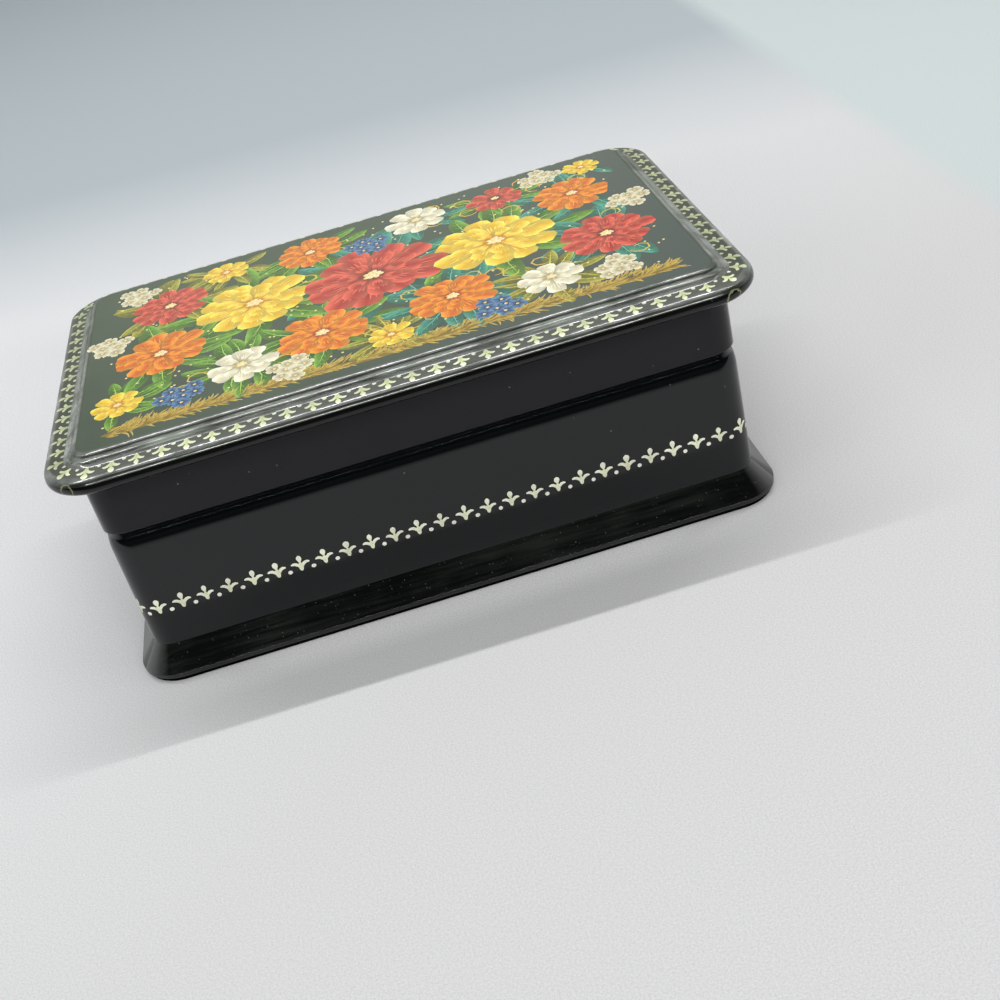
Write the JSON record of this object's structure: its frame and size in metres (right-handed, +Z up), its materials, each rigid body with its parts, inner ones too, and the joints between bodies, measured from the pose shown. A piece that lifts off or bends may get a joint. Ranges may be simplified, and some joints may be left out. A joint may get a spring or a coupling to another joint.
{
  "type": "lacquer box",
  "caption": "Rectangular black lacquered papier-mache box on a moulded plinth, with a hinged overhanging lid, a raised painted panel and gilt trefoil borders.",
  "frame": {"origin": "centre of the underside, on the surface the box stands on", "axes": "+X along the length, to the right seen from the front; +Y to the back, where the hinge is; +Z up"},
  "size_m": [0.15, 0.0984, 0.0561],
  "materials": {
    "black_lacquer": "gloss",
    "red_lacquer": "gloss",
    "painted_lacquer": "gloss",
    "hinge_brass": "satin",
    "hinge_wire": "satin"
  },
  "bodies": {
    "box": {"base_board": "black_lacquer", "body_wall": "black_lacquer", "inner_collar": "red_lacquer", "hinge_knuckle_1": "hinge_brass", "hinge_knuckle_3": "hinge_brass", "hinge_knuckle_5": "hinge_brass", "hinge_pin": "hinge_wire"},
    "lid": {"lid_rim": "black_lacquer", "lid_board": "black_lacquer", "picture_panel": "painted_lacquer", "hinge_knuckle_2": "hinge_brass", "hinge_knuckle_4": "hinge_brass"}
  },
  "joints": [
    {"name": "lid_hinge", "type": "hinge", "parent": "box", "child": "lid", "pos_m": [0, 0.04155, 0.03655], "axis": [-1, 0, 0], "range_deg": [0, 100]}
  ]
}
